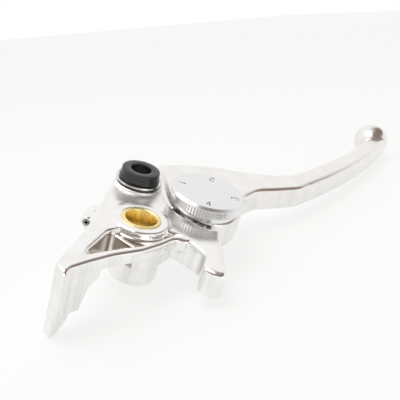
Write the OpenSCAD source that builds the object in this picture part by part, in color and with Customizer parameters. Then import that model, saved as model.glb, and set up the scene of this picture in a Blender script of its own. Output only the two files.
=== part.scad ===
/* [Pivot] */
// Bore of the pivot sleeve, for the pivot bolt
pivot_bore_d = 8; // [7.8:0.1:8.4]
// Wall of the pivot sleeve
sleeve_wall = 1.2; // [1:0.1:1.4]
// Wall of the plain bush in the blade's eye
blade_bush_wall = 1; // [0.8:0.1:1.2]
// Wall of the blade's eye round its bush
eye_wall = 2.1; // [1.9:0.1:2.2]
// Thickness of each of the two shims beside the eye
shim_t = 0.4; // [0.3:0.05:0.5]

/* [Seals] */
// Height of the black seal cap
seal_h = 3.5; // [3:0.1:4.2]
// Diameter of the seal cap at its top
seal_d = 12.9; // [12.4:0.1:13.4]
// Diameter of the swollen foot of the seal cap
seal_foot_d = 14.1; // [13.8:0.1:14.6]
// Diameter of the bright collar
collar_d = 15.8; // [15.4:0.1:16.4]
// Thickness of the bright collar
collar_t = 0.7; // [0.6:0.1:1]
// Diameter of the lip ring on the casting
lip_d = 14.2; // [13.8:0.1:14.8]
// Height of the lip ring on the casting
lip_h = 0.8; // [0.6:0.1:1]

/* [Holder casting] */
// Height of the pad round the pivot on either cheek
pad_rise = 1; // [0.8:0.1:1.2]
// Diameter of that pad
pad_d = 16.6; // [16:0.1:17]
// Thickness of the upper cheek of the fork
upper_cheek_t = 2.6; // [2.2:0.1:2.8]
// Thickness of the lower cheek of the fork
lower_cheek_t = 2.6; // [2.2:0.1:3]
// Depth of the raised web between hub and rib below the deck
web_drop = 1.8; // [1.5:0.1:2.2]
// Depth of the main body of the casting below its deck
body_t = 9.5; // [9:0.1:9.8]
// Rounding of the deck's outer edges
deck_round = 1.2; // [0.9:0.1:1.4]
// Distance from the pivot to the barrel bore
barrel_arm = 23.6; // [23.2:0.1:24]
// Direction of the barrel bore from the pivot, in degrees
barrel_angle = -74; // [-75:0.5:-73]
// Diameter of the raised boss round the barrel bush
boss_d = 18.4; // [18:0.1:18.8]
// Height of that boss above the deck
boss_rise = 0.6; // [0.5:0.1:1]
// Diameter of the ledge round the boss
ledge_d = 22; // [21:0.2:23]
// Depth of the hub's foot below the deck
hub_depth = 20; // [19:0.5:22]
// Diameter of the hub's foot
hub_foot_d = 16; // [15.6:0.1:16.4]
// Depth of the toe of the tail below the deck
toe_depth = 25; // [23:0.2:26]
// Depth of the step where the toe begins
toe_step = 17; // [16:0.2:18]
// Thickness of the toe
toe_t = 2.6; // [2.4:0.1:3]
// Depth of the thin rib beside the pocket
rib_t = 4.6; // [4:0.1:5]

/* [Barrel bushes] */
// Bore of the brass bushes
barrel_bore_d = 10; // [9.9:0.1:10.4]
// Wall of the brass bushes
barrel_bush_wall = 0.8; // [0.7:0.1:1]
// Length of each brass bush below its flange
barrel_bush_l = 8; // [7:0.5:9]
// Thickness of the brass flange
barrel_flange_t = 1.2; // [1:0.1:1.4]
// How far the brass flange stands out from the bush
barrel_flange_w = 0.6; // [0.5:0.1:0.8]

/* [Spring pin] */
// Diameter of the hollow spring pin
pin_d = 2; // [1.8:0.1:2.2]
// Length of the spring pin
pin_l = 8; // [7:0.1:8.2]
// Diameter of the lug round the spring pin
lug_d = 3.8; // [3.6:0.1:4.2]

/* [Dial] */
// Distance from the pivot to the dial's axis
dial_arm = 24.2; // [24:0.1:24.4]
// Direction of the dial's axis from the pivot, in degrees
dial_angle = -4.5; // [-5:0.1:-4]
// Diameter of the dial over its ribs
dial_d = 26; // [25.6:0.1:26.4]
// Number of ribs round the dial
rib_n = 72; // [60:4:80]
// Depth of the grooves between the ribs
groove_depth = 0.45; // [0.35:0.05:0.55]
// Height of the ribbed band
band_h = 3.5; // [3:0.1:4]
// Height of the chamfered cap above the band
cap_h = 0.8; // [0.7:0.1:1.1]
// Width of the cap's chamfer
cap_chamfer = 0.8; // [0.6:0.1:1]
// Height of the plain skirt under the band
skirt_h = 1.8; // [1.5:0.1:2.1]
// Diameter of the plain skirt
skirt_d = 22.4; // [22:0.1:22.8]
// Diameter of the dial's upper journal
journal_d = 13.2; // [13:0.1:13.4]
// Diameter of the dial's lower journal
foot_journal_d = 7; // [6.8:0.1:7.4]
// Smallest radius of the cam
cam_r = 4; // [3.9:0.05:4.1]
// Turn of the dial from its first to its last position, in degrees
dial_turn = 270; // [260:10:280]
// Swing of the blade over that turn, in degrees
reach_swing = 5.4; // [4.6:0.1:5.6]
// Clearance between the cam and the nose
cam_gap = 0.1; // [0.08:0.01:0.2]

/* [Dial fastening] */
// Diameter of the dial washer
dial_washer_d = 11; // [10.4:0.1:12]
// Thickness of the dial washer
dial_washer_t = 0.8; // [0.6:0.1:1]
// Thickness of the wave washer
wave_t = 0.3; // [0.2:0.05:0.4]
// Thread diameter of the dial screw
screw_d = 4; // [3.6:0.1:4.2]
// Length of the dial screw under its head
screw_l = 7; // [6:0.5:8]
// Diameter of the detent ball
ball_d = 2.4; // [2.2:0.1:2.6]

/* [Blade] */
// Thickness of the blade
blade_t = 9.5; // [9.3:0.1:9.8]
// Thickness of the blade's tongue between the cheeks
tongue_t = 4.6; // [4.3:0.1:4.8]
// Length of the finger grip
grip_l = 101; // [95:1:105]
// Width of the finger grip at its middle
grip_w = 10.6; // [10:0.2:11.4]
// Heading of the grip where it starts, in degrees
grip_heading = 56.5; // [55:0.5:58]
// Turn of the grip over its length, in degrees
grip_turn = 15; // [12:1:17]
// Rounding of the grip's edges
grip_round = 3; // [2.4:0.1:3.4]
// Rounding of the root's edges
root_round = 2; // [1.6:0.1:2.2]
// Diameter of the ball end
ball_end_d = 18; // [16:0.2:19]

/* [Reach spring] */
// Wire of the reach spring
wire_d = 0.9; // [0.8:0.05:1]
// Mean diameter of the reach spring
reach_coil_d = 13; // [12.8:0.1:13.4]
// Wire of the detent spring
detent_wire_d = 0.4; // [0.35:0.05:0.5]

/* [Hidden] */
$fn = 72;

press = 0.02;          // radial clearance of a pressed or seated piece
running = 0.05;        // radial clearance of a running fit
face_gap = 0.1;        // clearance between flat faces that slide
cut = 0.01;            // how far a cutter passes the face it opens
far = 60;              // longer than anything that is cut

// Levels, measured down from the deck's top face at zero
sleeve_r = pivot_bore_d / 2 + sleeve_wall;
eye_bore_r = sleeve_r + running + blade_bush_wall;
eye_r = eye_bore_r + eye_wall;
slot_top = -upper_cheek_t;
tongue_top = slot_top - shim_t - face_gap;
tongue_foot = tongue_top - tongue_t;
coil_sweep = 490;      // degrees of wire in the reach spring
coil_h = (1.15 * coil_sweep / 360 + 1) * wire_d;
coil_top = tongue_foot - face_gap;
slot_foot = coil_top - coil_h - shim_t;
cheek_foot = slot_foot - lower_cheek_t;
stack_h = pad_rise + lip_h + collar_t + seal_h;
seal_roof = 0.8;       // roof of the seal cap over the sleeve's end

barrel = barrel_arm * [cos(barrel_angle), sin(barrel_angle)];
barrel_bush_r = barrel_bore_d / 2 + barrel_bush_wall;
dial_at = dial_arm * [cos(dial_angle), sin(dial_angle)];
journal_r = journal_d / 2;
cam_rise = dial_at[0] * sin(reach_swing) - dial_at[1] * (1 - cos(reach_swing));
cam_top = -3.2;
cam_foot = -6.6;
nose_tip_r = 2;
nose_h = 2.6;
nose_z = (cam_top + cam_foot) / 2;
slot_w = 8.4;          // window in the blade for the nose
skirt_foot = 0.3;
band_foot = skirt_foot + skirt_h;
cap_foot = band_foot + band_h;
ball_ring_r = skirt_d / 2 - ball_d / 2 - 0.8;
ball_angle = 55;
fillet_steps = 4;
corner_steps = 3;

function unit(v) = v / norm(v);
function left(v) = [-v[1], v[0]];
function turned(v, a) = [v[0] * cos(a) - v[1] * sin(a), v[0] * sin(a) + v[1] * cos(a)];

// Outline with a rounded corner at every vertex [x, y, corner radius, edge rounding], run counterclockwise.
// The step phi, from 0 to 90 degrees, moves each vertex in along the quarter round of its own edge.
function corner(p, i, phi) =
    let (n = len(p), v = p[i],
        a = unit([v[0] - p[(i + n - 1) % n][0], v[1] - p[(i + n - 1) % n][1]]),
        b = unit([p[(i + 1) % n][0] - v[0], p[(i + 1) % n][1] - v[1]]),
        na = left(a), nb = left(b),
        turn = atan2(a[0] * b[1] - a[1] * b[0], a * b),
        bisector = (na + nb) / (1 + na * nb),
        inset = v[3] * (1 - cos(phi)),
        side = turn < 0 ? -1 : 1,
        r = max(v[2] - side * inset, 0.02),
        c = [v[0], v[1]] + bisector * (inset + side * r))
    [for (k = [0 : corner_steps]) c - side * r * turned(na, turn * k / corner_steps)];

function ring(p, phi) = [for (i = [0 : len(p) - 1]) each corner(p, i, phi)];

// A plate of that outline between two levels, with its upper and lower edges rounded
module rounded_plate(p, foot, top) {
    m = len(p) * (corner_steps + 1);
    rings = [
        for (s = [fillet_steps : -1 : 0])
            let (phi = 90 * s / fillet_steps, q = ring(p, phi))
            [for (j = [0 : m - 1]) [q[j][0], q[j][1], foot + p[floor(j / (corner_steps + 1))][3] * (1 - sin(phi))]],
        for (s = [0 : fillet_steps])
            let (phi = 90 * s / fillet_steps, q = ring(p, phi))
            [for (j = [0 : m - 1]) [q[j][0], q[j][1], top - p[floor(j / (corner_steps + 1))][3] * (1 - sin(phi))]]];
    last = len(rings) - 1;
    polyhedron(
        points = [for (r = rings) each r],
        faces = concat(
            [[for (j = [0 : m - 1]) j]],
            [for (k = [0 : last - 1], j = [0 : m - 1])
                each [[k * m + j, (k + 1) * m + j, (k + 1) * m + (j + 1) % m],
                    [k * m + j, (k + 1) * m + (j + 1) % m, k * m + (j + 1) % m]]],
            [[for (j = [m - 1 : -1 : 0]) last * m + j]]),
        convexity = 10);
}

module rounded_disc(r, foot, top, round_r) {
    rotate_extrude()
        polygon(concat([[0, foot]],
            [for (s = [0 : fillet_steps]) let (a = 90 * s / fillet_steps)
                [r - round_r * (1 - sin(a)), foot + round_r * (1 - cos(a))]],
            [for (s = [0 : fillet_steps]) let (a = 90 * s / fillet_steps)
                [r - round_r * (1 - cos(a)), top - round_r * (1 - sin(a))]],
            [[0, top]]));
}

module tube(r_out, r_in, foot, top) {
    translate([0, 0, foot])
        difference() {
            cylinder(r = r_out, h = top - foot);
            translate([0, 0, -cut])
                cylinder(r = r_in, h = top - foot + 2 * cut);
        }
}

module hole(r, foot, top) {
    translate([0, 0, foot])
        cylinder(r = r, h = top - foot);
}

// Joins its children into one solid, before round bosses are added and bores are cut
module one_piece() {
    resize([0, 0, 0])
        union()
            children();
}

// Round wire swept along a list of points, as one closed solid
module wire(path, r, sides = 6) {
    n = len(path);
    function tangent(i) = unit(path[min(i + 1, n - 1)] - path[max(i - 1, 0)]);
    function across(t) = unit(cross(t, abs(t[2]) > 0.9 ? [1, 0, 0] : [0, 0, 1]));
    polyhedron(
        points = [for (i = [0 : n - 1]) let (t = tangent(i), u = across(t), w = cross(t, u))
            each [for (k = [0 : sides - 1]) path[i] + r * (cos(360 * k / sides) * u + sin(360 * k / sides) * w)]],
        faces = concat(
            [[for (k = [0 : sides - 1]) k]],
            [for (i = [0 : n - 2], k = [0 : sides - 1])
                each [[i * sides + k, (i + 1) * sides + k, (i + 1) * sides + (k + 1) % sides],
                    [i * sides + k, (i + 1) * sides + (k + 1) % sides, i * sides + (k + 1) % sides]]],
            [[for (k = [sides - 1 : -1 : 0]) (n - 1) * sides + k]]),
        convexity = 8);
}

// Outlines: each vertex is [x, y, corner radius, edge rounding], in plan, counterclockwise

// The deck of the casting: leg, arm, clearance slot's edge, pivot end, left wall and tail
deck_edge = 0.4;
deck_outline = [
    [36.8, -38.8, 2.4, deck_round + 0.4], [34.2, -26, 20, deck_round + 0.4], [32, -16.8, 3, deck_round],
    [30.6, -14.2, 1.5, deck_edge], [28.2, -15.9, 3, deck_edge], [24.7, -15.3, 8, deck_edge],
    [20.1, -13.6, 8, deck_edge], [15.9, -11.2, 8, deck_edge], [12, -7.4, 10, deck_edge],
    [8.7, 0, 20, deck_edge], [6.8, 7.6, 12, deck_edge], [4.2, 15.6, 1.6, deck_edge],
    [-2.5, 16.6, 5, deck_round], [-8.4, 9, 7, deck_round], [-8.2, -7, 30, deck_round],
    [-7.4, -30, 30, deck_round], [-7.6, -42, 30, deck_round], [-9, -54, 12, deck_round],
    [-9, -57.4, 1.4, deck_round], [-4.9, -61.2, 1.2, deck_round], [-4.3, -57, 3, deck_round],
    [-3, -50.8, 2, deck_round], [-3, -46.3, 8, deck_round], [-0.7, -34.8, 4, deck_round],
    [1.2, -31.8, 3, deck_edge], [6, -27, 6, deck_edge], [12, -25.4, 6, deck_edge],
    [19.6, -25, 5, deck_round], [25.2, -28, 8, deck_round], [28.7, -30.6, 2.5, deck_round],
    [28.9, -35.6, 6, deck_round], [29.6, -38.6, 1.4, deck_round + 0.4], [32.6, -40, 3, deck_round + 0.4],
    [35.6, -40, 1.8, deck_round + 0.4]];

// The thin rib from the tail's corner to the hub
rib_outline = [
    [-6.5, -57, 1, 0.6], [-4.9, -61.2, 1.2, deck_round], [-4.3, -57.4, 3, deck_round],
    [-0.9, -52.6, 20, deck_round], [4.4, -46, 20, deck_round], [11.6, -39.2, 12, deck_round],
    [16.2, -32.8, 20, deck_round], [19, -28, 3, deck_round], [23, -27.2, 1, deck_round],
    [23, -25.6, 0.6, 0.6], [17.8, -25.4, 2, 0.8], [14.2, -31.4, 12, 0.8], [9.6, -37.2, 12, 0.8],
    [5.6, -40.4, 8, 0.8], [-3, -48.9, 1.5, 0.8]];

// The lower web between hub, rib and arm
web_outline = [
    [12.4, -37.2, 2, 1], [15, -33, 12, 1], [18.6, -26.6, 2, 1], [14, -14, 2, 1], [-5, -20, 2, 1],
    [-3, -34.4, 1, 1], [0.6, -33.1, 1.5, 0.8], [5.6, -35.6, 8, 0.8], [9.8, -37.4, 1, 0.8]];

// The body of the casting under the pivot
under_outline = [
    [-7.4, -27, 3, 0.8], [4, -29, 3, 0.8], [14, -20, 4, 0.8], [13.2, -10, 2.5, 0.8], [9.4, -6, 4, 0.8],
    [9.2, 4, 5, 0.8], [5, 9.2, 4, 0.8], [-5, 9.2, 4, 0.8], [-8.6, 4, 5, 0.8], [-8.2, -9, 20, 0.8]];

// Window through the casting between left wall, hub and rib
window_pts = [[-3.4, -50], [-2.6, -49.2], [5.8, -40.7], [9.6, -37.4], [5.6, -35.6], [0.8, -33.1],
    [-0.6, -35], [-3.1, -46.3]];

// Side profile of the tail: [distance along the tail, depth below the deck]
tail_profile = [[-1, 0.5], [17, 0.5], [17, -5.4], [15, -6.3], [11.2, -9.2], [10.4, -12.1], [9.1, -toe_step],
    [-1, -toe_step]];
toe_profile = [[0, -toe_step + 3], [8, -toe_step + 3], [7.6, -toe_step], [6.6, -toe_step - 4.2],
    [4.6, -toe_depth + 1.6], [2.6, -toe_depth], [1, -toe_depth], [0, -toe_depth + 1.2]];

// Centre line of the finger grip: an arc that starts beside the root
grip_from = [60.6, 48.8];
grip_bend_r = grip_l / (grip_turn * PI / 180);
function grip_dir(s) = grip_heading + grip_turn * s / grip_l;
function grip_at(s, w) = grip_from
    + grip_bend_r * [sin(grip_dir(s)) - sin(grip_heading), cos(grip_heading) - cos(grip_dir(s))]
    + w * [-sin(grip_dir(s)), cos(grip_dir(s))];
function grip_half(s) = grip_w / 2 * (1 + 0.08 * pow(1 - s / grip_l, 2));
grip_stations = 6;
ball_end_at = grip_at(grip_l, ball_end_d / 2 - grip_w / 2);

// The blade: trench rim round the dial, front edge, grip, ball end, back edge
rim_edge = 0.5;
blade_outline = concat(
    [[3.4, 20.2, 1, rim_edge], [7.9, 12.4, 20, rim_edge], [10.9, 3, 14, rim_edge], [13, -1.8, 12, rim_edge],
        [16.6, -6.4, 14, rim_edge], [20.8, -10.3, 8, rim_edge], [25.5, -12.2, 8, rim_edge],
        [30.4, -11.9, 7, rim_edge], [34.9, -8, 8, rim_edge], [37.4, -1, 10, rim_edge], [38, 8, 12, root_round],
        [38.6, 15.4, 8, root_round], [43, 24.2, 14, root_round], [51, 30.4, 30, root_round],
        [59.4, 37.4, 22, root_round]],
    [for (i = [0 : grip_stations]) let (s = grip_l * i / grip_stations, q = grip_at(s, -grip_half(s)))
        [q[0], q[1], i < grip_stations ? 40 : 1.5, grip_round]],
    [for (i = [grip_stations : -1 : 0]) let (s = grip_l * i / grip_stations, q = grip_at(s, grip_half(s)))
        [q[0], q[1], i < grip_stations ? 40 : 1.5, grip_round]],
    [[50, 45.4, 20, root_round], [41.4, 41, 20, root_round], [33, 37.4, 30, root_round],
        [25, 35, 20, root_round], [17.4, 31.6, 20, root_round], [9.6, 26.6, 20, root_round]]);

spring_tang_l = reach_coil_d * 0.42;
tongue_pts = [[3, -7.4], [14.6, -4], [17, 4], [14, 13], [7, 17], [-3, 7.4]];

// Pieces

module hub_cylinder() {
    translate([barrel[0] + 1.2, barrel[1] - 0.2, -hub_depth])
        rounded_disc_bore(hub_foot_d / 2, hub_depth - 2, 0.9);
}

module rounded_disc_bore(r, h, round_r) {
    rotate_extrude()
        polygon(concat([[0, 0]],
            [for (s = [0 : fillet_steps]) let (a = 90 * s / fillet_steps)
                [r - round_r * (1 - sin(a)), round_r * (1 - cos(a))]],
            [[r, h], [0, h]]));
}

module tail_block() {
    tail_dir = [0.447, 0.894];
    heading = atan2(tail_dir[1], tail_dir[0]);
    intersection() {
        translate([0, 0, -toe_step - 1])
            linear_extrude(toe_step + 1 - 0.8)
                polygon([[-8.9, -57.3], [-5, -61], [-4.4, -57.3], [-0.9, -52.4], [2, -48.6], [-3.1, -46.3],
                    [-7.6, -42]]);
        translate([-4.9, -61.1, 0])
            rotate([0, 0, heading])
                rotate([90, 0, 0])
                    translate([0, 0, -20])
                        linear_extrude(40)
                            polygon(tail_profile);
    }
}

module toe() {
    translate([-8.95, -57.8, 0])
        rotate([0, 0, 63.4])
            rotate([90, 0, 0])
                translate([0, 0, -0.1])
                    linear_extrude(toe_t)
                        offset(0.6, $fn = 24)
                            offset(-0.6)
                                polygon(toe_profile);
}

module cast_body() {
    difference() {
        union() {
            rounded_plate(deck_outline, -body_t, 0);
            rounded_plate(web_outline, -body_t, -web_drop);
            rounded_plate(under_outline, cheek_foot, -6);
        }
        translate([0, 0, -body_t - 8])
            linear_extrude(body_t + 9)
                offset(0.6, $fn = 24)
                    offset(-0.6)
                        polygon(window_pts);
    }
    rounded_plate(rib_outline, -rib_t, 0);
    cylinder(d = pad_d, h = 2 * pad_rise, center = true, $fn = 72);
    translate([0, 0, cheek_foot])
        cylinder(d = pad_d, h = 2 * pad_rise, center = true, $fn = 72);
    tail_block();
    toe();
    translate([lug_at[0], -22, lug_at[1]])
        rotate([90, 0, 0])
            cylinder(d = lug_d, h = 8.6, $fn = 24);
    translate([lug_at[0], -30.6, -body_t + 1])
        cube([4, 8.6, body_t - 1 + lug_at[1]]);
}

module knocker() {
    color("gainsboro") {
        difference() {
            union() {
                one_piece()
                    cast_body();
                translate([barrel[0], barrel[1], 0]) {
                    rounded_disc(boss_d / 2, -4, boss_rise, 0.5);
                    rounded_disc(ledge_d / 2, -body_t - 1.5, -web_drop - 1, 1);
                }
                hub_cylinder();
            }
            translate([-20, -8.9, slot_foot])
                cube([80, 60, slot_top - slot_foot]);
            hole(sleeve_r + press, -far, far);
            translate([barrel[0], barrel[1], 0]) {
                hole(barrel_bush_r + press, -far, far);
                hole(barrel_bush_r + barrel_flange_w + press, boss_rise - 0.5, far);
                hole(barrel_bush_r + barrel_flange_w + press, -far, -hub_depth + 0.5);
            }
            translate([lug_at[0], -22.2, lug_at[1]])
                rotate([90, 0, 0])
                    cylinder(r = pin_d / 2 + press, h = 9);
            translate([0, -7, coil_low])
                rotate([90, 0, 0])
                    cylinder(r = wire_d / 2 + 0.08, h = 6, $fn = 24);
        }
        translate([dial_at[0] - nose_tip_r, -17, nose_z - nose_h / 2])
            cube([2 * nose_tip_r, nose_y + 17, nose_h]);
        translate([dial_at[0], nose_y, nose_z - nose_h / 2])
            cylinder(r = nose_tip_r, h = nose_h);
    }
}

lug_at = [-8.7, -2.1];
nose_y = dial_at[1] - cam_r - cam_gap - nose_tip_r;
coil_low = coil_top - coil_h + wire_d / 2;

module pivot_sleeve() {
    color("silver")
        tube(sleeve_r, pivot_bore_d / 2, cheek_foot - stack_h + seal_roof, stack_h - seal_roof);
}

module lip_ring(foot) {
    color("black")
        tube(lip_d / 2, sleeve_r + press, foot, foot + lip_h);
}

module upper_lip_ring() {
    lip_ring(pad_rise);
}

module lower_lip_ring() {
    lip_ring(cheek_foot - pad_rise - lip_h);
}

module collar(foot) {
    color("white")
        tube(collar_d / 2, sleeve_r + press, foot, foot + collar_t);
}

module upper_collar() {
    collar(pad_rise + lip_h);
}

module lower_collar() {
    collar(cheek_foot - pad_rise - lip_h - collar_t);
}

// Seal cap: swollen foot, waist and rounded top round the open bore, drawn upward from its foot
module seal_cap() {
    top_r = seal_d / 2;
    foot_r = seal_foot_d / 2;
    rotate_extrude()
        polygon([[sleeve_r + press, 0], [foot_r - 0.5, 0], [foot_r - 0.12, 0.25], [foot_r, 0.65],
            [foot_r - 0.12, 1.05], [foot_r - 0.5, 1.35], [top_r - 0.15, 1.55], [top_r - 0.15, 1.8],
            [top_r, 2], [top_r, seal_h - 0.5], [top_r - 0.15, seal_h - 0.15], [top_r - 0.5, seal_h],
            [pivot_bore_d / 2 + 0.4, seal_h], [pivot_bore_d / 2, seal_h - 0.4],
            [pivot_bore_d / 2, seal_h - seal_roof], [sleeve_r + press, seal_h - seal_roof]]);
}

module upper_seal() {
    color("black")
        translate([0, 0, pad_rise + lip_h + collar_t])
            seal_cap();
}

module lower_seal() {
    color("black")
        translate([0, 0, cheek_foot - pad_rise - lip_h - collar_t])
            mirror([0, 0, 1])
                seal_cap();
}

module upper_shim() {
    color("silver")
        tube(eye_r - 0.4, sleeve_r + press, slot_top - shim_t, slot_top);
}

module lower_shim() {
    color("silver")
        tube(eye_r - 0.4, sleeve_r + press, slot_foot, slot_foot + shim_t);
}

module reach_spring() {
    r = reach_coil_d / 2;
    rise = coil_h - wire_d;
    tang = -90 + coil_sweep;
    color("dimgray")
        wire(concat(
            [[0, -r - spring_tang_l, coil_low], [0, -r - wire_d, coil_low], [wire_d / 4, -r - wire_d / 4, coil_low]],
            [for (k = [2 : 48]) let (a = -90 + coil_sweep * k / 50)
                [r * cos(a), r * sin(a), coil_low + rise * k / 50]],
            [[(r + 0.3) * cos(tang), (r + 0.3) * sin(tang), coil_low + rise],
                [tang_r * cos(tang), tang_r * sin(tang), coil_low + rise + 0.2],
                [tang_r * cos(tang), tang_r * sin(tang), tongue_foot + 1.6]]), wire_d / 2);
}

tang_r = reach_coil_d / 2 + 3;

module barrel_bush() {
    tube(barrel_bush_r, barrel_bore_d / 2, -barrel_bush_l, 0.1);
    tube(barrel_bush_r + barrel_flange_w, barrel_bore_d / 2, 0, barrel_flange_t);
}

module upper_barrel_bush() {
    color("goldenrod")
        translate([barrel[0], barrel[1], boss_rise - 0.5])
            barrel_bush();
}

module lower_barrel_bush() {
    color("goldenrod")
        translate([barrel[0], barrel[1], -hub_depth + 0.5])
            mirror([0, 0, 1])
                barrel_bush();
}

module spring_pin() {
    color("gray")
        translate([lug_at[0], -22.5 - pin_l, lug_at[1]])
            rotate([-90, 0, 0])
                difference() {
                    hole(pin_d / 2, 0, pin_l);
                    hole(pin_d / 4, -1, pin_l + 1);
                    translate([0, -0.15, -1])
                        cube([pin_d, 0.3, pin_l + 2]);
                }
}

module blade() {
    color("lightgray")
        difference() {
            union() {
                one_piece() {
                    rounded_plate(blade_outline, -blade_t, 0);
                    translate([0, 0, tongue_foot])
                        linear_extrude(tongue_t)
                            polygon(tongue_pts);
                }
                translate([0, 0, tongue_foot])
                    cylinder(r = eye_r, h = tongue_t);
                translate([ball_end_at[0], ball_end_at[1], -blade_t / 2])
                    sphere(r = ball_end_d / 2);
            }
            hole(eye_bore_r, -far, far);
            translate([dial_at[0], dial_at[1], 0]) {
                hole(journal_r + running, cam_foot - face_gap, far);
                hole(foot_journal_d / 2 + running, -far, far);
                translate([-slot_w / 2, -14, nose_z - nose_h / 2 - 0.3])
                    cube([slot_w, 14, nose_h + 0.6]);
                rotate([0, 0, ball_angle])
                    translate([ball_ring_r, 0, 0])
                        hole(ball_d / 2 + running, -6, far);
            }
            for (a = [-reach_swing - 4, -reach_swing / 2, 4])
                rotate([0, 0, -90 + coil_sweep + a])
                    translate([tang_r, 0, 0])
                        hole(wire_d / 2 + 0.35, tongue_foot - 1, tongue_foot + 2.2);
        }
}

module blade_bush() {
    color("goldenrod")
        tube(eye_bore_r - press, sleeve_r + running, tongue_foot, tongue_top);
}

module detent_ball() {
    color("silver")
        translate([dial_at[0], dial_at[1], 0])
            rotate([0, 0, ball_angle])
                translate([ball_ring_r, 0, -ball_d / 4])
                    sphere(d = ball_d, $fn = 32);
}

module detent_spring() {
    r = ball_d / 2 - detent_wire_d / 2 - 0.1;
    turns = 4;
    color("dimgray")
        translate([dial_at[0], dial_at[1], 0])
            rotate([0, 0, ball_angle])
                translate([ball_ring_r, 0, -6 + detent_wire_d / 2])
                    wire([for (k = [0 : 12 * turns]) let (a = 30 * k)
                        [r * cos(a), r * sin(a), (3.9 - detent_wire_d) * k / (12 * turns)]], detent_wire_d / 2);
}

// Radius of the cam at an angle of the dial: a spiral with a dwell at either end
function cam_at(a) =
    a < 0 ? cam_r
    : a < cam_sweep ? cam_r + cam_rise * a / cam_sweep
    : a < cam_sweep + 15 ? cam_r + cam_rise
    : a < 345 ? cam_r + cam_rise * (345 - a) / (330 - cam_sweep)
    : cam_r;
cam_sweep = dial_turn - reach_swing;

module dial() {
    color("whitesmoke")
        translate([dial_at[0], dial_at[1], 0]) {
            difference() {
                rotate_extrude()
                    polygon([[0, skirt_foot], [skirt_d / 2, skirt_foot], [skirt_d / 2, band_foot],
                        [dial_d / 2 - 0.3, band_foot], [dial_d / 2, band_foot + 0.3], [dial_d / 2, cap_foot],
                        [dial_d / 2 - cap_chamfer, cap_foot + cap_h], [0, cap_foot + cap_h]]);
                for (k = [0 : rib_n - 1])
                    rotate([0, 0, 360 * (k + 0.5) / rib_n])
                        translate([dial_d / 2, 0, band_foot - 1])
                            rotate([0, 0, 45])
                                translate([-groove_depth * 0.7, -groove_depth * 0.7, 0])
                                    cube([2, 2, band_h + 0.8]);
                rotate_extrude()
                    translate([ball_ring_r - ball_d / 2, skirt_foot - 1])
                        square([ball_d, 1.5]);
                for (k = [0 : 3])
                    rotate([0, 0, ball_angle + 90 * k])
                        translate([ball_ring_r, 0, 0])
                            sphere(d = ball_d + 0.6, $fn = 32);
            }
            hole(journal_r, cam_top, skirt_foot + 0.1);
            difference() {
                union() {
                    translate([0, 0, cam_foot])
                        linear_extrude(cam_top - cam_foot)
                            polygon([for (a = [0 : 5 : 355]) cam_at(a) * [cos(a - 90), sin(a - 90)]]);
                    hole(foot_journal_d / 2, dial_foot, cam_foot);
                }
                hole(screw_d / 2 + press, dial_foot - 1, dial_foot + screw_l - dial_washer_t - 0.8);
            }
        }
}

dial_foot = -blade_t - wave_t - 2 * face_gap;

module wave_washer() {
    color("silver")
        translate([dial_at[0], dial_at[1], 0])
            tube(foot_journal_d / 2 + 1.4, foot_journal_d / 2 + 0.1, dial_foot + face_gap,
                dial_foot + face_gap + wave_t);
}

module dial_washer() {
    color("silver")
        translate([dial_at[0], dial_at[1], 0])
            tube(dial_washer_d / 2, screw_d / 2 + 0.1, dial_foot - dial_washer_t, dial_foot);
}

module dial_screw() {
    head_h = 2;
    head_foot = dial_foot - dial_washer_t - head_h;
    color("dimgray")
        translate([dial_at[0], dial_at[1], 0])
            difference() {
                union() {
                    hole(screw_d / 2, head_foot + 0.1, dial_foot + screw_l - dial_washer_t - 1);
                    hole(screw_d * 0.9, head_foot, head_foot + head_h);
                }
                translate([0, 0, head_foot - 1])
                    cylinder(d = screw_d * 0.7, h = 2.2, $fn = 6);
            }
}

knocker();
pivot_sleeve();
upper_seal();
lower_seal();
upper_collar();
lower_collar();
upper_lip_ring();
lower_lip_ring();
upper_shim();
lower_shim();
reach_spring();
upper_barrel_bush();
lower_barrel_bush();
spring_pin();
blade();
blade_bush();
detent_ball();
detent_spring();
dial();
wave_washer();
dial_washer();
dial_screw();
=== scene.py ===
"""Adjustable brake lever: the looks, numerals, stage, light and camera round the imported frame."""
import logging
import math
from dataclasses import dataclass, field
from enum import Enum

import bmesh
import bpy
import numpy as np
from mathutils import Matrix, Vector


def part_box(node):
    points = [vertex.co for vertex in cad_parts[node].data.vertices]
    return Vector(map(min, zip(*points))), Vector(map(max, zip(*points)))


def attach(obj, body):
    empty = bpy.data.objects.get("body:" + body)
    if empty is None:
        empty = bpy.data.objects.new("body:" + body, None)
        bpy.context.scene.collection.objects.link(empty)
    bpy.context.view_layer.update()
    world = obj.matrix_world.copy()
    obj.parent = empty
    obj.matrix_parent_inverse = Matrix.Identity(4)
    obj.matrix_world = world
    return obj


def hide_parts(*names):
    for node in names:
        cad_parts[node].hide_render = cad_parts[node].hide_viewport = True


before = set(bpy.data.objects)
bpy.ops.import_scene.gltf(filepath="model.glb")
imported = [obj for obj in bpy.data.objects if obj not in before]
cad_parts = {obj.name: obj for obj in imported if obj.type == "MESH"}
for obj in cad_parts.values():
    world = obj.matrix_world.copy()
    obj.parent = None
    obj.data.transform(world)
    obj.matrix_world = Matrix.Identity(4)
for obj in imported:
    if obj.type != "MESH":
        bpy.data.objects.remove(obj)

LOG = logging.getLogger("brake_lever")
MM = 0.001
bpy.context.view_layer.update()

Colour = tuple[float, float, float]
Place = tuple[float, float, float]
Outline = list[tuple[float, float]]
Socket = bpy.types.NodeSocket

MERGE_M = 2e-6
SHARP_EDGE_DEG = 32.0
LATHE_STEPS = 96
BARREL_CENTRE_MM = (6.505, -22.686, 0.0)


def mm(x: float, y: float, z: float) -> Vector:
    """A place given in millimetres, as a vector in metres."""
    return Vector((x * MM, y * MM, z * MM))


# Materials


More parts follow.
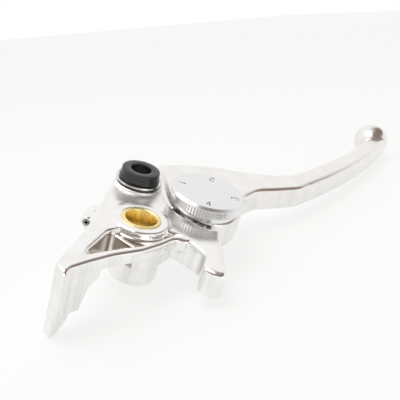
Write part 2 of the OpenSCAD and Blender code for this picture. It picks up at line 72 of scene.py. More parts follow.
class Tree:
    """A short way to build one material's node tree."""

    def __init__(self, name: str) -> None:
        """Starts a material of that name with a Principled shader."""
        self.material = bpy.data.materials.new(name)
        self.material.use_nodes = True
        self.nodes = self.material.node_tree.nodes
        self.links = self.material.node_tree.links
        self.shader = self.nodes["Principled BSDF"]

    def add(self, kind: str, **settings) -> bpy.types.Node:
        """Adds a node.

        Args:
            kind: Blender's name for the node type.
            settings: node properties by name, or input values under their socket's name.
        Returns:
            The new node.
        """
        node = self.nodes.new(kind)
        for key, value in settings.items():
            if hasattr(node, key) and key not in node.inputs:
                setattr(node, key, value)
            else:
                node.inputs[key].default_value = value
        return node

    def link(self, source: Socket, target: Socket) -> None:
        """Joins an output to an input."""
        self.links.new(source, target)

    def coords(self, scale: Place = (1.0, 1.0, 1.0), turn: float = 0.0,
               centre: Place = (0.0, 0.0, 0.0)) -> Socket:
        """Object coordinates, moved to a centre, turned about Z and scaled along each axis.

        Args:
            scale: stretch of the pattern along X, Y and Z.
            turn: angle about Z in degrees.
            centre: the pattern's middle, in millimetres.
        Returns:
            The vector output.
        """
        place = self.add("ShaderNodeTexCoord")
        mapping = self.add("ShaderNodeMapping", vector_type="TEXTURE")
        mapping.inputs["Location"].default_value = [c * MM for c in centre]
        mapping.inputs["Rotation"].default_value = (0.0, 0.0, math.radians(turn))
        mapping.inputs["Scale"].default_value = [1.0 / s for s in scale]
        self.link(place.outputs["Object"], mapping.inputs["Vector"])
        return mapping.outputs["Vector"]

    def noise(self, vector: Socket, scale: float, detail: float = 3.0,
              roughness: float = 0.5) -> Socket:
        """A cloud of that many features a metre."""
        node = self.add("ShaderNodeTexNoise", Scale=scale, Detail=detail, Roughness=roughness)
        self.link(vector, node.inputs["Vector"])
        return node.outputs["Fac"]

    def remap(self, value: Socket, low: float, high: float, to_low: float = 0.0,
              to_high: float = 1.0) -> Socket:
        """Carries a range of values onto another, and holds it there."""
        node = self.add("ShaderNodeMapRange", clamp=True)
        for key, number in (("From Min", low), ("From Max", high), ("To Min", to_low), ("To Max", to_high)):
            node.inputs[key].default_value = number
        self.link(value, node.inputs["Value"])
        return node.outputs["Result"]

    def soft(self, value: Socket, start: float, end: float) -> Socket:
        """Rises smoothly from 0 at the start to 1 at the end."""
        step = self.add("ShaderNodeMapRange", interpolation_type="SMOOTHSTEP")
        step.inputs["From Min"].default_value = start
        step.inputs["From Max"].default_value = end
        self.link(value, step.inputs["Value"])
        return step.outputs["Result"]

    def blend(self, factor: Socket, first: Colour, second: Colour) -> Socket:
        """Mixes two colours by a factor."""
        node = self.add("ShaderNodeMix", data_type="RGBA")
        node.inputs[6].default_value = (*first, 1.0)
        node.inputs[7].default_value = (*second, 1.0)
        self.link(factor, node.inputs["Factor"])
        return node.outputs[2]

    def reckon(self, operation: str, first: Socket, second: Socket) -> Socket:
        """Joins two numbers by one of the Math node's operations."""
        node = self.add("ShaderNodeMath", operation=operation)
        self.link(first, node.inputs[0])
        self.link(second, node.inputs[1])
        return node.outputs[0]

    def times(self, first: Socket, second: Socket) -> Socket:
        """The product of two numbers."""
        return self.reckon("MULTIPLY", first, second)

    def along(self, place: Socket, axis: Place) -> Socket:
        """How far a place lies along an axis."""
        dot = self.add("ShaderNodeVectorMath", operation="DOT_PRODUCT")
        dot.inputs[1].default_value = axis
        self.link(place, dot.inputs[0])
        return dot.outputs["Value"]

    def height(self, vector: Socket) -> Socket:
        """The Z part of a vector."""
        apart = self.add("ShaderNodeSeparateXYZ")
        self.link(vector, apart.inputs[0])
        return apart.outputs["Z"]

    def radius(self, place: Socket) -> Socket:
        """How far a place lies from the Z axis."""
        flat = self.add("ShaderNodeVectorMath", operation="MULTIPLY")
        flat.inputs[1].default_value = (1.0, 1.0, 0.0)
        self.link(place, flat.inputs[0])
        away = self.add("ShaderNodeVectorMath", operation="LENGTH")
        self.link(flat.outputs["Vector"], away.inputs[0])
        return away.outputs["Value"]

    def lay(self, share: Socket, under: Socket,
            over: Colour) -> Socket:
        """Lays a plain colour over a pattern by a share."""
        node = self.add("ShaderNodeMix", data_type="RGBA")
        node.inputs[7].default_value = (*over, 1.0)
        self.link(under, node.inputs[6])
        self.link(share, node.inputs["Factor"])
        return node.outputs[2]

    def choose(self, factor: Socket, first: Socket, second: Socket) -> Socket:
        """Mixes two shaders by a factor."""
        node = self.add("ShaderNodeMixShader")
        self.link(factor, node.inputs["Fac"])
        self.link(first, node.inputs[1])
        self.link(second, node.inputs[2])
        return node.outputs["Shader"]

    def bump(self, height: Socket, depth_mm: float, strength: float = 1.0,
             under: Socket | None = None) -> Socket:
        """Raises the surface by a pattern.

        Args:
            height: the pattern, 0 to 1.
            depth_mm: how high 1 stands, in millimetres.
            strength: share of the effect.
            under: another bump that this one lies on.
        Returns:
            The normal output.
        """
        node = self.add("ShaderNodeBump", Strength=strength, Distance=depth_mm * MM)
        self.link(height, node.inputs["Height"])
        if under is not None:
            self.link(under, node.inputs["Normal"])
        return node.outputs["Normal"]

    def surface(self, colour: Socket | Colour, roughness: Socket, normal: Socket | None = None,
                metallic: float = 0.0) -> bpy.types.Material:
        """Joins a surface's patterns to the shader.

        Args:
            colour: a pattern, or one plain colour.
            roughness: the roughness pattern.
            normal: the last bump, where there is one.
            metallic: 1 for bare metal.
        Returns:
            The finished material.
        """
        inputs = self.shader.inputs
        if isinstance(colour, tuple):
            inputs["Base Color"].default_value = (*colour, 1.0)
        else:
            self.link(colour, inputs["Base Color"])
        self.link(roughness, inputs["Roughness"])
        inputs["Metallic"].default_value = metallic
        if normal is not None:
            self.link(normal, inputs["Normal"])
        return self.material


class RoomTree(Tree):
    """The same for the world's node tree."""

    def __init__(self, name: str) -> None:
        """Starts a world of that name with an empty tree, and makes it the scene's own."""
        world = bpy.data.worlds.new(name)
        bpy.context.scene.world = world
        world.use_nodes = True
        self.nodes = world.node_tree.nodes
        self.links = world.node_tree.links
        self.nodes.clear()


@dataclass(frozen=True)
class PolishedCasting:
    """Cast aluminium, polished on its faces, with a faint orange peel and fine polishing lines.

    The lines run along the direction that grain_turn gives, in degrees about Z. Noise is set by its
    features a metre, bump by its depth. Streaks are painted grey reflections on the upright walls, and
    the pocket takes painted brown-grey shade. A satin reach, streaks or a pocket of nothing leave that out.
    """

    name: str
    bright: Colour = (0.93, 0.92, 0.905)
    dull: Colour = (0.87, 0.855, 0.835)
    # Colour of the painted shade in the pocket.
    pocket_shade: Colour = (0.42, 0.36, 0.31)
    # Grey of the painted reflection streaks on upright walls.
    reflection_grey: Colour = (0.66, 0.66, 0.64)
    smooth: float = 0.10
    rough: float = 0.22
    peel_mm: float = 0.012
    grain_turn: float = 0.0
    satin_reach_mm: float = 0.0
    # Share of the painted reflection streaks on upright walls.
    streaks: float = 0.0
    # Planes of the pocket whose colour is darkened by painted shade.
    pocket: tuple[Place, ...] = ()
    pocket_blur_mm: float = 0.15
    pocket_top_mm: tuple[float, float] = (-0.9, -0.3)
    pocket_foot_mm: tuple[float, float] = (-9.6, -9.2)
    cloud_per_m: float = 160.0
    lines_per_m: float = 420.0
    lines_stretch: float = 14.0
    lines_mm: float = 0.004
    peel_per_m: float = 700.0
    satin_extra: float = 0.24

    def make(self) -> bpy.types.Material:
        """Builds the material: cloudy tint, streaked roughness, and bump from peel and polishing lines."""
        tree = Tree(self.name)
        plain = tree.coords()
        grain = tree.coords(scale=(1.0, self.lines_stretch, self.lines_stretch), turn=self.grain_turn)
        cloud = tree.noise(plain, self.cloud_per_m, 4.0)
        lines = tree.noise(grain, self.lines_per_m, 5.0, 0.65)
        colour = tree.blend(tree.remap(cloud, 0.35, 0.7), self.bright, self.dull)
        gloss = tree.remap(lines, 0.3, 0.75, self.smooth, self.rough)
        # Painted reflection: grey streaks laid on walls that stand along Z.
        if self.streaks:
            colour = self.streak(tree, colour)
        # Painted shade: the pocket's colour is darkened brown-grey.
        if self.pocket:
            colour = self.paint_pocket_shade(tree, plain, colour)
        if self.satin_reach_mm:
            gloss = self.satin(tree, plain, gloss)
        peel = tree.bump(tree.noise(plain, self.peel_per_m, 2.0), self.peel_mm, 0.5)
        return tree.surface(colour, gloss, tree.bump(lines, self.lines_mm, 0.4, peel), 1.0)

    def streak(self, tree: Tree, colour: Socket) -> Socket:
        """Painted reflection streaks on walls that stand along Z: grey by a noise stretched along Z."""
        marks = tree.noise(tree.coords(scale=(1.0, 1.0, 0.05)), 330.0, 3.0, 0.6)
        level = tree.add("ShaderNodeMath", operation="ABSOLUTE")
        tree.link(tree.height(tree.add("ShaderNodeNewGeometry").outputs["Normal"]), level.inputs[0])
        wall = tree.remap(level.outputs[0], 0.25, 0.6, self.streaks, 0.0)
        return tree.lay(tree.times(wall, tree.remap(marks, 0.42, 0.66)), colour, self.reflection_grey)

    def paint_pocket_shade(self, tree: Tree, plain: Socket, colour: Socket) -> Socket:
        """Paints shade into the pocket: brown-grey under the deck, over the web and inside all its planes.

        Each plane of the pocket is (X, Y, least distance along them in millimetres).
        """
        share = None
        blur = self.pocket_blur_mm
        for x, y, least in self.pocket:
            side = tree.remap(tree.along(plain, (x, y, 0.0)), (least - blur) * MM, (least + blur) * MM)
            share = side if share is None else tree.times(share, side)
        height = tree.height(plain)
        under = tree.remap(height, *(z * MM for z in self.pocket_top_mm), 1.0, 0.0)
        above = tree.remap(height, *(z * MM for z in self.pocket_foot_mm))
        # Painted shade laid over the colour inside the pocket.
        return tree.lay(tree.times(tree.times(share, under), above), colour, self.pocket_shade)

    def satin(self, tree: Tree, plain: Socket, gloss: Socket) -> Socket:
        """A blasted, satin zone round the Z axis: roughness rises inside the reach."""
        reach = self.satin_reach_mm * MM
        extra = tree.remap(tree.radius(plain), 0.75 * reach, 1.25 * reach, self.satin_extra, 0.0)
        return tree.reckon("ADD", gloss, extra)


@dataclass(frozen=True)
class SatinDial:
    """Fine-turned aluminium under a clear anodised layer: rings round the dial's own axis."""

    name: str
    centre: Place
    tint: Colour = (0.83, 0.835, 0.84)
    smooth: float = 0.2
    rough: float = 0.34
    rings_per_m: float = 5200.0
    rings_mm: float = 0.003

    def make(self) -> bpy.types.Material:
        """Builds the material: roughness and bump follow the distance from the dial's axis."""
        tree = Tree(self.name)
        rings = tree.add("ShaderNodeTexNoise", noise_dimensions="1D", Scale=self.rings_per_m, Detail=4.0)
        tree.link(tree.radius(tree.coords(centre=self.centre)), rings.inputs["W"])
        marks = rings.outputs["Fac"]
        gloss = tree.remap(marks, 0.3, 0.7, self.smooth, self.rough)
        return tree.surface(self.tint, gloss, tree.bump(marks, self.rings_mm, 0.3), 1.0)


@dataclass(frozen=True)
class MachinedBrass:
    """Turned brass with upright drag marks in its bore and a little brown tarnish."""

    name: str
    centre: Place
    bright: Colour = (0.98, 0.84, 0.46)
    tarnished: Colour = (0.86, 0.64, 0.24)
    smooth: float = 0.16
    rough: float = 0.34
    drag_per_m: float = 130.0
    drag_mm: float = 0.006

    def make(self) -> bpy.types.Material:
        """Builds the material: streaks run along Z, tarnish gathers in a slow cloud."""
        tree = Tree(self.name)
        upright = tree.coords(scale=(9.0, 9.0, 0.6), centre=self.centre)
        streak = tree.noise(upright, self.drag_per_m, 4.0, 0.6)
        cloud = tree.noise(tree.coords(), 260.0, 3.0)
        amount = tree.times(tree.remap(streak, 0.35, 0.7), tree.remap(cloud, 0.3, 0.7, 0.35, 1.0))
        gloss = tree.remap(streak, 0.3, 0.7, self.smooth, self.rough)
        colour = tree.blend(amount, self.bright, self.tarnished)
        return tree.surface(colour, gloss, tree.bump(streak, self.drag_mm, 0.5), 1.0)


@dataclass(frozen=True)
class GroundSteel:
    """Ground or drawn steel with short fine lines."""

    name: str
    tint: Colour = (0.62, 0.62, 0.61)
    smooth: float = 0.16
    rough: float = 0.32
    lines_per_m: float = 600.0
    lines_mm: float = 0.003
    shade: float = 0.82

    def make(self) -> bpy.types.Material:
        """Builds the material: fine lines round the piece in roughness and bump."""
        tree = Tree(self.name)
        lines = tree.noise(tree.coords(scale=(1.0, 1.0, 12.0)), self.lines_per_m, 4.0, 0.6)
        cloud = tree.noise(tree.coords(), 300.0, 3.0)
        dark = tuple(self.shade * c for c in self.tint)
        gloss = tree.remap(lines, 0.3, 0.7, self.smooth, self.rough)
        colour = tree.blend(cloud, self.tint, dark)
        return tree.surface(colour, gloss, tree.bump(lines, self.lines_mm, 0.4), 1.0)


@dataclass(frozen=True)
class MouldedRubber:
    """Black moulded rubber with a soft sheen and a faint grain."""

    name: str
    tint: Colour = (0.012, 0.012, 0.013)
    dust: Colour = (0.03, 0.03, 0.03)
    smooth: float = 0.1
    rough: float = 0.2
    grain_per_m: float = 2600.0
    grain_mm: float = 0.003

    def make(self) -> bpy.types.Material:
        """Builds the material: nearly black, with a fine grain in roughness and bump."""
        tree = Tree(self.name)
        plain = tree.coords()
        grain = tree.noise(plain, self.grain_per_m, 3.0)
        colour = tree.blend(tree.noise(plain, 350.0, 3.0), self.tint, self.dust)
        gloss = tree.remap(grain, 0.3, 0.7, self.smooth, self.rough)
        return tree.surface(colour, gloss, tree.bump(grain, self.grain_mm, 0.3))


@dataclass(frozen=True)
class EngravingPaint:
    """Dark paint in the dial's numerals, slightly worn."""

    name: str
    tint: Colour = (0.035, 0.033, 0.032)
    worn: Colour = (0.16, 0.16, 0.16)
    spots_per_m: float = 3200.0

    def make(self) -> bpy.types.Material:
        """Builds the material: dark paint with small paler spots."""
        tree = Tree(self.name)
        spots = tree.noise(tree.coords(), self.spots_per_m, 3.0)
        colour = tree.blend(tree.remap(spots, 0.5, 0.75), self.tint, self.worn)
        return tree.surface(colour, tree.remap(spots, 0.3, 0.7, 0.4, 0.6))


# Meshes


def mesh_from_grid(name: str, grid: np.ndarray, closed_u: bool, closed_v: bool) -> bpy.types.Object:
    """Makes a smooth mesh from a grid of points: each cell becomes one four-sided face.

    Args:
        name: the object's name.
        grid: points in millimetres, of shape (rows, columns, 3).
        closed_u: whether the last row joins the first.
        closed_v: whether the last column joins the first.
    Returns:
        The new object.
    """
    rows, columns, _ = grid.shape
    i = np.arange(rows if closed_u else rows - 1)
    j = np.arange(columns if closed_v else columns - 1)
    a, b = np.meshgrid(i, j, indexing="ij")
    nxt_a, nxt_b = (a + 1) % rows, (b + 1) % columns
    corner_rows = [a * columns + b, nxt_a * columns + b, nxt_a * columns + nxt_b, a * columns + nxt_b]
    faces = np.stack(corner_rows, axis=-1)
    mesh = bpy.data.meshes.new(name)
    mesh.from_pydata((grid.reshape(-1, 3) * MM).tolist(), [], faces.reshape(-1, 4).tolist())
    mesh.shade_smooth()
    obj = bpy.data.objects.new(name, mesh)
    bpy.context.scene.collection.objects.link(obj)
    return obj


def polished_copy(node: str, name: str, voxel_mm: float, rounds: int) -> bpy.types.Object:
    """Copies a CAD node's shape with its edges and inner corners worn round, as by casting and polishing.

    The merged copy is rebuilt on an even grid of small cells, and each round then moves every point half way
    to the mean of its neighbours, so that edges take a radius of about a cell times the root of the rounds.

    Args:
        node: the CAD node.
        name: the new piece's name.
        voxel_mm: side of a cell, in millimetres.
        rounds: how often the points are evened out.
    Returns:
        The new object, with no material yet.
    """
    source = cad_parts[node]
    work = bmesh.new()
    work.from_mesh(source.data)
    bmesh.ops.remove_doubles(work, verts=work.verts, dist=MERGE_M)
    draft = bpy.data.meshes.new(name + "_draft")
    work.to_mesh(draft)
    work.free()
    draft.materials.clear()
    rough = bpy.data.objects.new(name + "_draft", draft)
    bpy.context.scene.collection.objects.link(rough)
    cells = rough.modifiers.new("cells", "REMESH")
    cells.mode = "VOXEL"
    cells.voxel_size = voxel_mm * MM
    wear = rough.modifiers.new("wear", "SMOOTH")
    wear.factor = 0.5
    wear.iterations = rounds
    bpy.context.view_layer.update()
    mesh = bpy.data.meshes.new_from_object(rough.evaluated_get(bpy.context.evaluated_depsgraph_get()))
    bpy.data.objects.remove(rough)
    bpy.data.meshes.remove(draft)
    mesh.name = name
    mesh.shade_smooth()
    obj = bpy.data.objects.new(name, mesh)
    bpy.context.scene.collection.objects.link(obj)
    return obj


def dress(node: str, material: bpy.types.Material) -> None:
    """Puts a material on every slot of a CAD node."""
    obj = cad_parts[node]
    if not obj.material_slots:
        obj.data.materials.append(material)
    for slot in obj.material_slots:
        slot.material = material


def turned(name: str, centre_mm: Place, profile: Outline) -> bpy.types.Object:
    """A piece turned on a lathe: every profile point (radius, height) is carried round a Z axis.

    Args:
        name: the piece's name.
        centre_mm: where the axis stands.
        profile: closed outline in millimetres, in the sense that turns its faces outwards.
    Returns:
        The new object.
    """
    outline = np.array(profile)
    angle = np.linspace(0.0, 2.0 * math.pi, LATHE_STEPS, endpoint=False)
    grid = np.stack([centre_mm[0] + outline[:, None, 0] * np.cos(angle),
                     centre_mm[1] + outline[:, None, 0] * np.sin(angle),
                     centre_mm[2] + outline[:, None, 1] * np.ones(LATHE_STEPS)], axis=-1)
    piece = mesh_from_grid(name, grid, True, True)
    piece.data.set_sharp_from_angle(angle=math.radians(SHARP_EDGE_DEG))
    return piece


# Sub-assemblies


@dataclass
class PivotSeals:
    """The two black seal caps: a straight wall over a swollen foot, with a lip round the opening."""

    top_r: float = 6.62
    foot_r: float = 7.05
    opening_r: float = 3.5
    inner_r: float = 5.3
    skin: float = 0.9
    rubber: MouldedRubber = MouldedRubber("seal_rubber")

    def profile(self, face: float, foot: float) -> Outline:
        """The cap's outline: down its outer wall, round the foot, and back up inside to the opening."""
        s = 1.0 if face > foot else -1.0
        points = [(self.foot_r - 0.45, foot), (self.foot_r - 0.08, foot + s * 0.16),
                  (self.foot_r, foot + s * 0.5), (self.foot_r - 0.03, foot + s * 0.9),
                  (self.foot_r - 0.3, foot + s * 1.35), (self.top_r + 0.03, foot + s * 1.8),
                  (self.top_r, face - s * 0.55), (self.top_r - 0.16, face - s * 0.16),
                  (self.top_r - 0.55, face), (self.opening_r + 0.45, face),
                  (self.opening_r + 0.12, face - s * 0.12), (self.opening_r, face - s * 0.4),
                  (self.opening_r, face - s * self.skin), (self.inner_r, face - s * self.skin),
                  (self.inner_r, foot)]
        return points if s > 0 else points[::-1]

    def build(self) -> None:
        """Turns both caps where the plain ones are, and dresses the lip rings."""
        finish = self.rubber.make()
        for node, name, rise in (("upper_seal", "upper_seal_cap", 1.0),
                                 ("lower_seal", "lower_seal_cap", -1.0)):
            low, high = (Vector(corner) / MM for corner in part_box(node))
            face, foot = (high.z, low.z) if rise > 0 else (low.z, high.z)
            piece = turned(name, (0.0, 0.0, 0.0), self.profile(face, foot))
            piece.data.materials.append(finish)
            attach(piece, "holder")
            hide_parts(node)
            LOG.info("%s turned", name)
        for node in ("upper_lip_ring", "lower_lip_ring"):
            dress(node, finish)


@dataclass
class BarrelBushes:
    """The two flanged brass bushes of the barrel bore, turned, with their bore edge broken."""

    centre_mm: Place = BARREL_CENTRE_MM
    bore_r: float = 5.0
    body_r: float = 5.8
    flange_r: float = 6.4
    flange_t: float = 1.2
    sunk: float = 0.5
    brass: MachinedBrass = MachinedBrass("barrel_brass", BARREL_CENTRE_MM)

    def profile(self, face: float, seat: float, foot: float) -> Outline:
        """The bush's outline from the bore's foot, up the bore, over the flange and down its body.

        Args:
            face: height of the flange's face.
            seat: height of the flange's seat.
            foot: height of the body's end.
        Returns:
            The outline, in the sense that turns its faces outwards.
        """
        s = 1.0 if face > foot else -1.0
        points = [(self.bore_r, foot), (self.bore_r, face - s * 0.35),
                  (self.bore_r + 0.12, face - s * 0.14), (self.bore_r + 0.34, face),
                  (self.flange_r - 0.3, face), (self.flange_r - 0.09, face - s * 0.09),
                  (self.flange_r, face - s * 0.3), (self.flange_r, seat),
                  (self.body_r, seat), (self.body_r, foot)]
        return points if s > 0 else points[::-1]

    def build(self) -> None:
        """Turns both bushes where the plain ones are, with their faces sunk a little lower."""
        finish = self.brass.make()
        for node, name, rise in (("upper_barrel_bush", "upper_bush_turned", 1.0),
                                 ("lower_barrel_bush", "lower_bush_turned", -1.0)):
            low, high = (Vector(corner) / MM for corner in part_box(node))
            outer, foot = (high.z, low.z) if rise > 0 else (low.z, high.z)
            face, seat = outer - rise * self.sunk, outer - rise * self.flange_t
            piece = turned(name, self.centre_mm, self.profile(face, seat, foot))
            piece.data.materials.append(finish)
            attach(piece, "holder")
            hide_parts(node)
            LOG.info("%s turned", name)


@dataclass
class Holder:
    """The cast holder with its collars, sleeve, shims, spring and pin."""

    # The pocket takes painted shade; streaks sets painted reflection streaks on the upright walls.
    casting: PolishedCasting = PolishedCasting(
        "casting_polish", grain_turn=20.0, satin_reach_mm=14.0, streaks=0.5,
        pocket=((0.976, -0.217, 6.9), (-0.74, 0.67, -31.2), (-0.59, -0.81, -8.0), (0.0, -1.0, 33.4)))
    voxel_mm: float = 0.3
    rounds: int = 11

    def build(self) -> None:
        """Makes the smooth casting and dresses the small pieces of the holder."""
        body = polished_copy("knocker", "holder_casting", self.voxel_mm, self.rounds)
        body.data.materials.append(self.casting.make())
        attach(body, "holder")
        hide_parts("knocker")
        LOG.info("holder_casting: %d faces", len(body.data.polygons))
        collar = GroundSteel("collar_steel", (0.78, 0.78, 0.77), 0.08, 0.18).make()
        for node in ("upper_collar", "lower_collar"):
            dress(node, collar)
        steel = GroundSteel("sleeve_steel").make()
        for node in ("pivot_sleeve", "upper_shim", "lower_shim"):
            dress(node, steel)
        spring = GroundSteel("spring_wire", (0.34, 0.34, 0.34), 0.2, 0.36).make()
        for node in ("reach_spring", "spring_pin"):
            dress(node, spring)
        LOG.info("holder: collars, sleeve, shims, spring and pin dressed")


@dataclass
class Blade:
    """The finger blade with its bush and the dial's detent."""

    # streaks sets painted reflection streaks on the blade's upright walls.
    finish: PolishedCasting = PolishedCasting("blade_polish", (0.90, 0.885, 0.86), (0.85, 0.83, 0.80),
                                              smooth=0.13, rough=0.26, peel_mm=0.010, grain_turn=62.0,
                                              streaks=0.25)
    voxel_mm: float = 0.4
    rounds: int = 14

    def build(self) -> None:
        """Makes the smooth blade and dresses what it carries."""
        body = polished_copy("blade", "finger_blade", self.voxel_mm, self.rounds)
        body.data.materials.append(self.finish.make())
        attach(body, "blade")
        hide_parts("blade")
        LOG.info("finger_blade: %d faces", len(body.data.polygons))
        dress("blade_bush", MachinedBrass("pivot_brass", (0.0, 0.0, 0.0)).make())
        steel = GroundSteel("detent_steel", (0.7, 0.7, 0.69), 0.06, 0.14).make()
        for node in ("detent_ball", "detent_spring"):
            dress(node, steel)
        LOG.info("blade: bush, detent ball and spring dressed")


class Position(Enum):
    """The dial's four positions: the direction of each numeral from the dial's axis, in degrees.

    The 4 stands 8 degrees off its quarter turn, as in the photograph.
    """

    ONE = 180.0
    TWO = 90.0
    THREE = 0.0
    FOUR = 278.0


@dataclass
class Dial:
    """The reach dial: ribbed rim, flat face and four numerals."""

    centre_mm: Place = (24.125, -1.899, 0.0)
    face_mm: float = 6.4
    numeral_radius: float = 9.3
    numeral_height: float = 2.6
    numeral_width: float = 1.5
    stroke: float = 0.34
    stroke_step: float = 0.12
    across: tuple[float, ...] = (-1.0, -0.8, 0.0, 0.8, 1.0)
    rise: tuple[float, ...] = (-0.02, 0.012, 0.016, 0.012, -0.02)
    strokes: dict[Position, list[Outline]] = field(default_factory=lambda: {
        Position.ONE: [[(-0.3, 0.62), (0.1, 1.0), (0.1, 0.0)]],
        Position.TWO: [[(-0.5, 0.78), (-0.3, 0.98), (0.2, 1.0), (0.48, 0.8), (0.42, 0.56), (-0.5, 0.0),
                        (0.52, 0.0)]],
        Position.THREE: [[(-0.48, 0.86), (-0.1, 1.0), (0.36, 0.92), (0.42, 0.68), (0.02, 0.53), (0.46, 0.38),
                          (0.42, 0.1), (-0.02, 0.0), (-0.5, 0.12)]],
        Position.FOUR: [[(0.22, 0.0), (0.22, 1.0), (-0.52, 0.3), (0.54, 0.3)]],
    })

    def ribbon(self, name: str, path: np.ndarray) -> bpy.types.Object:
        """A painted stroke: a flat band carried along a path, with its sides turned down into the face.

        Each row of the grid is one point of the path. Its columns step across the band, by the stroke's
        half width along the mean normal of the two neighbouring segments.

        Args:
            name: the piece's name.
            path: points on the face in millimetres, of shape (count, 2).
        Returns:
            The new object.
        """
        step = np.gradient(path, axis=0)
        step /= np.linalg.norm(step, axis=1, keepdims=True)
        normal = np.stack([-step[:, 1], step[:, 0]], axis=1)
        across = np.array(self.across) * self.stroke / 2
        height = self.face_mm + np.array(self.rise)
        flat = path[:, None, :] + across[None, :, None] * normal[:, None, :]
        grid = np.concatenate([flat, np.broadcast_to(height[None, :, None], (*flat.shape[:2], 1))], axis=2)
        return mesh_from_grid(name, grid[:, ::-1], False, False)

    def densify(self, points: Outline) -> np.ndarray:
        """Steps along a polyline in even short lengths, so that the corners stay crisp."""
        pts = np.array(points) * [self.numeral_width, self.numeral_height]
        run = np.concatenate([[0.0], np.cumsum(np.linalg.norm(np.diff(pts, axis=0), axis=1))])
        at = np.unique(np.concatenate([np.linspace(0.0, run[-1], int(run[-1] / self.stroke_step) + 2), run]))
        return np.stack([np.interp(at, run, pts[:, k]) for k in (0, 1)], axis=1)

    def numeral(self, position: Position) -> None:
        """Paints one numeral, with its top towards the dial's axis."""
        paint = bpy.data.materials.get("numeral_paint") or EngravingPaint("numeral_paint").make()
        angle = math.radians(position.value)
        outward = np.array([math.cos(angle), math.sin(angle)])
        upright, side = -outward, np.array([-outward[1], outward[0]])
        for k, points in enumerate(self.strokes[position]):
            local = self.densify(points)
            local[:, 1] -= self.numeral_height / 2
            middle = np.array(self.centre_mm[:2]) + self.numeral_radius * outward
            path = middle + local[:, :1] * side + local[:, 1:] * upright
            piece = self.ribbon(f"numeral_{position.name.lower()}_{k}", path)
            piece.data.materials.append(paint)
            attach(piece, "dial")
            LOG.info("%s on the dial", piece.name)

    def build(self) -> None:
        """Dresses the dial and its fastening, and paints the numerals."""
        dress("dial", SatinDial("dial_satin", self.centre_mm).make())
        steel = GroundSteel("fastener_steel").make()
        for node in ("wave_washer", "dial_washer", "dial_screw"):
            dress(node, steel)
        for position in Position:
            self.numeral(position)
        LOG.info("dial: face, ribs, washers and screw dressed")


# Stage


@dataclass(frozen=True)
class Lamp:
    """A soft square lamp: where it stands and points and its side in millimetres, and its power in watts."""

    name: str
    place_mm: Place
    side_mm: float
    watts: float
    target_mm: Place = (20.0, 10.0, 0.0)

    def build(self) -> None:
        """Hangs the lamp."""
        data = bpy.data.lights.new(self.name, "AREA")
        data.shape = "SQUARE"
        data.size = self.side_mm * MM
        data.energy = self.watts
        obj = bpy.data.objects.new(self.name, data)
        bpy.context.scene.collection.objects.link(obj)
        obj.location = mm(*self.place_mm)
        obj.rotation_euler = (mm(*self.target_mm) - mm(*self.place_mm)).to_track_quat("-Z", "Y").to_euler()
        LOG.info("lamp %s", self.name)


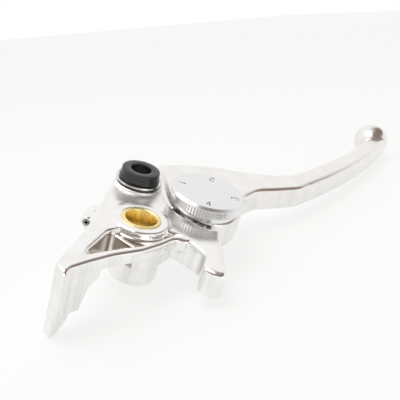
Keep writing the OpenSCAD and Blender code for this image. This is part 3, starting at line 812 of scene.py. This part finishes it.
@dataclass
class Studio:
    """The pale table under the toe and the ball end, the soft lamps, the room and the camera.

    The dark stretch of the room is set by sines of heights above the table (foot and top), by how far
    round it reaches (reach), by the angle from the camera's side to its middle (turn), and by how
    softly each of its borders fades.
    """

    table_normal: Place = (-0.33705, 0.13332, 0.93201)
    table_point_mm: Place = (-6.19, -57.14, -24.94)
    table_reach_mm: float = 2400.0
    table_steps: int = 9
    table_colour: Colour = (0.85, 0.88, 0.855)
    table_roughness: float = 0.3
    table_lift: float = 0.75
    camera_mm: Place = (24.18, -190.761, 98.103)
    camera_right: Place = (0.95626, 0.14038, 0.25661)
    camera_up: Place = (-0.29236, 0.4313, 0.85353)
    lens_mm: float = 55.8
    white: Colour = (1.0, 1.0, 1.0)
    wall_low: Colour = (0.97, 0.955, 0.94)
    wall_fade: tuple[float, float] = (0.05, 0.75)
    dark: Colour = (0.26, 0.205, 0.18)
    dark_top: float = 1.1
    dark_top_fade: float = 0.25
    dark_foot: float = 0.45
    dark_foot_fade: float = 0.15
    dark_reach: float = -0.3
    dark_reach_fade: float = 0.45
    dark_turn: float = 42.0
    lamps: tuple[Lamp, ...] = (Lamp("key_lamp", (-260.0, -60.0, 520.0), 420.0, 1.6),
                               Lamp("fill_lamp", (420.0, -320.0, 260.0), 360.0, 0.3))

    def table(self) -> None:
        """A flat table top: a grid of points in the plane that the toe and the ball end touch.

        Camera and glossy rays see it lifted towards white by a share of plain glow.
        """
        up = Vector(self.table_normal).normalized()
        side = up.orthogonal().normalized()
        deep = up.cross(side)
        step = np.linspace(-1.0, 1.0, self.table_steps) * self.table_reach_mm
        flat = step[:, None, None] * np.array(side) + step[None, :, None] * np.array(deep)
        top = mesh_from_grid("table_top", flat + np.array(self.table_point_mm), False, False)
        tree = Tree("table_white")
        tree.shader.inputs["Base Color"].default_value = (*self.table_colour, 1.0)
        tree.shader.inputs["Roughness"].default_value = self.table_roughness
        rays = tree.add("ShaderNodeLightPath")
        seen = tree.reckon("MAXIMUM", rays.outputs["Is Camera Ray"], rays.outputs["Is Glossy Ray"])
        share = tree.add("ShaderNodeMath", operation="MULTIPLY")
        share.inputs[1].default_value = self.table_lift
        tree.link(seen, share.inputs[0])
        glow = tree.add("ShaderNodeEmission", Strength=1.0, Color=(*self.white, 1.0))
        mixed = tree.choose(share.outputs[0], tree.shader.outputs[0], glow.outputs[0])
        tree.link(mixed, tree.nodes["Material Output"].inputs["Surface"])
        top.data.materials.append(tree.material)
        LOG.info("table top laid")

    def room(self) -> None:
        """Paints the room round the table: white, with one dark brown stretch.

        The stretch lies behind and above the camera, to its right: about half of the round, from some 20
        to some 75 degrees above the table. Its share of brown is the product of a band of heights and a
        band of directions. The camera's own rays see plain white, and all other rays, reflections too,
        see the painted room.
        """
        tree = RoomTree("room")
        up = Vector(self.table_normal).normalized()
        near = -Vector(self.camera_right).cross(Vector(self.camera_up)).cross(up).cross(up).normalized()
        dark_side = (Matrix.Rotation(math.radians(self.dark_turn), 3, up) @ near).normalized()
        place = tree.add("ShaderNodeTexCoord").outputs["Generated"]
        height, round_it = tree.along(place, up), tree.along(place, dark_side)
        wall = tree.blend(tree.soft(height, *self.wall_fade), self.wall_low, self.white)
        band = tree.times(tree.soft(height, self.dark_top, self.dark_top - self.dark_top_fade),
                          tree.soft(height, self.dark_foot - self.dark_foot_fade, self.dark_foot))
        part = tree.soft(round_it, self.dark_reach, self.dark_reach + self.dark_reach_fade)
        lit = tree.add("ShaderNodeBackground")
        tree.link(tree.lay(tree.times(band, part), wall, self.dark), lit.inputs["Color"])
        seen = tree.add("ShaderNodeBackground", Color=(*self.white, 1.0))
        camera_ray = tree.add("ShaderNodeLightPath").outputs["Is Camera Ray"]
        mixed = tree.choose(camera_ray, lit.outputs["Background"], seen.outputs["Background"])
        tree.link(mixed, tree.add("ShaderNodeOutputWorld").inputs["Surface"])
        LOG.info("room painted")

    def camera(self) -> None:
        """The camera, turned by its right and up directions, as in the photograph."""
        data = bpy.data.cameras.new("photo_camera")
        data.sensor_width = 36.0
        data.lens = self.lens_mm
        data.clip_start = 0.005
        data.clip_end = 10.0
        obj = bpy.data.objects.new("photo_camera", data)
        bpy.context.scene.collection.objects.link(obj)
        right = Vector(self.camera_right).normalized()
        up = Vector(self.camera_up)
        up = (up - up.dot(right) * right).normalized()
        back = right.cross(up)
        turn = Matrix((right, up, back)).transposed().to_4x4()
        obj.matrix_world = Matrix.Translation(mm(*self.camera_mm)) @ turn
        bpy.context.scene.camera = obj
        LOG.info("camera placed")

    def build(self) -> None:
        """Sets up the whole stage."""
        bpy.context.scene.view_settings.view_transform = "Standard"
        self.table()
        self.room()
        self.camera()
        for lamp in self.lamps:
            lamp.build()


def main() -> None:
    """Builds the lever's pieces, then the stage."""
    logging.basicConfig(level=logging.INFO, format="%(name)s: %(message)s")
    for part in (Holder(), PivotSeals(), BarrelBushes(), Blade(), Dial(), Studio()):
        part.build()


if __name__ == "__main__":
    main()
